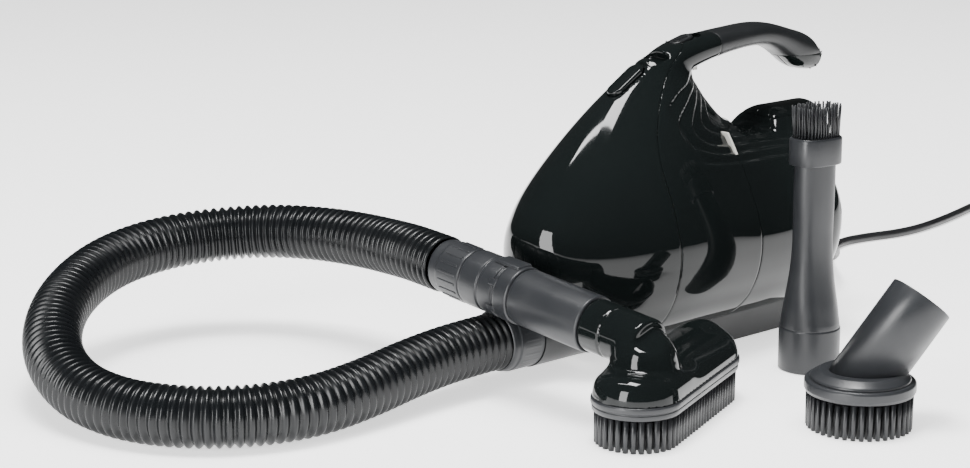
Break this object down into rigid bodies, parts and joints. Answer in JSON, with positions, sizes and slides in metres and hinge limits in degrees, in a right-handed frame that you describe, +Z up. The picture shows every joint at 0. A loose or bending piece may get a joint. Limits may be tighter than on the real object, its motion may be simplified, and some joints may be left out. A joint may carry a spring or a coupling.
{
  "type": "car dryer blower",
  "caption": "Hand-held air blower with hooked handle, corrugated hose and wand, upholstery brush, crevice tool, dusting brush and mains lead.",
  "frame": {"origin": "on the floor under the middle of the blower's skid", "axes": "+Z up, -X towards the nose and the hose port, +X towards the motor end and the lead"},
  "size_m": [1.082, 0.4977, 0.2117],
  "materials": {
    "gloss_black": "gloss",
    "satin_black": "satin",
    "charcoal": "satin",
    "hose_black": "satin",
    "bristle": "satin",
    "steel": "brushed",
    "iron": "laminated",
    "copper": "enamelled",
    "brass": "bright",
    "aluminium": "turned",
    "rubber": "matte",
    "paper": "woven",
    "foam": "open foam",
    "carbon": "matte",
    "white_plastic": "satin",
    "cord_rubber": "satin"
  },
  "bodies": {
    "housing": {"housing_left": "gloss_black", "housing_right": "gloss_black", "rear_cap": "gloss_black", "base_skid": "satin_black", "handle_grip": "satin_black", "switch_body": "white_plastic", "bulkhead": "white_plastic", "filter_frame": "white_plastic", "motor_filter": "foam", "exhaust_filter": "foam", "fan_housing": "steel", "field_core": "iron", "field_coils": "copper", "front_bracket": "aluminium", "rear_bracket": "aluminium", "front_mount": "rubber", "rear_mount": "rubber", "front_bearing": "steel", "rear_bearing": "steel", "brush_holders": "brass", "carbon_brushes": "carbon", "housing_screws": "steel", "cap_screws": "steel", "strain_relief": "cord_rubber", "cord_clamp": "white_plastic", "power_cord": "cord_rubber", "cord_coil": "cord_rubber", "cord_tie": "satin_black", "plug_body": "cord_rubber", "plug_pins": "brass"},
    "rotor": {"impeller": "aluminium", "fan_nut": "steel", "motor_shaft": "steel", "armature_core": "iron", "armature_windings": "copper", "commutator": "brass"},
    "front_cover": {"front_shell": "gloss_black", "port_collar": "satin_black", "port_seal": "rubber", "bag_collar": "white_plastic", "filter_bag": "paper", "latch_bracket": "satin_black", "latch_spring": "steel"},
    "release_button": {"release_button": "satin_black"},
    "power_slider": {"power_slider": "satin_black"},
    "hose_assembly": {"hose": "hose_black", "blower_cuff": "charcoal", "hose_cuff": "charcoal", "collar_ring": "charcoal", "lock_ring": "charcoal", "wand_sleeve": "charcoal"},
    "upholstery_brush": {"upholstery_head": "gloss_black", "head_base": "charcoal", "head_bristles": "bristle"},
    "crevice_tool": {"crevice_tool": "charcoal"},
    "crevice_brush": {"crevice_collar": "charcoal", "crevice_bristles": "bristle"},
    "dusting_brush": {"dusting_neck": "charcoal", "dusting_ring": "charcoal", "dusting_bristles": "bristle"}
  },
  "joints": [
    {"name": "rotor_spin", "type": "hinge", "parent": "housing", "child": "rotor", "pos_m": [0.02, 0, 0.08], "axis": [1, 0, 0], "continuous": true},
    {"name": "power_slide", "type": "slide", "parent": "housing", "child": "power_slider", "axis": [0.9703, 0, 0.2419], "range_m": [0, 0.007]},
    {"name": "front_cover_slide", "type": "slide", "parent": "housing", "child": "front_cover", "axis": [-1, 0, 0], "range_m": [0, 0.09]},
    {"name": "release_press", "type": "slide", "parent": "front_cover", "child": "release_button", "axis": [0.515, 0, -0.8572], "range_m": [0, 0.003], "stiffness_N_per_m": 400, "springref_m": -0.001, "deforming": ["latch_spring"]},
    {"name": "hose_pull", "type": "slide", "parent": "front_cover", "child": "hose_assembly", "axis": [-1, 0, 0], "range_m": [0, 0.03]},
    {"name": "upholstery_brush_pull", "type": "slide", "parent": "hose_assembly", "child": "upholstery_brush", "axis": [0.0347, -0.9937, -0.1069], "range_m": [0, 0.03]},
    {"name": "crevice_tool_lift", "type": "slide", "parent": "housing", "child": "crevice_tool", "axis": [0, 0, 1], "range_m": [0, 0.1]},
    {"name": "crevice_brush_pull", "type": "slide", "parent": "crevice_tool", "child": "crevice_brush", "axis": [0, 0, 1], "range_m": [0, 0.02]},
    {"name": "dusting_brush_lift", "type": "slide", "parent": "housing", "child": "dusting_brush", "axis": [0, 0, 1], "range_m": [0, 0.1]}
  ]
}
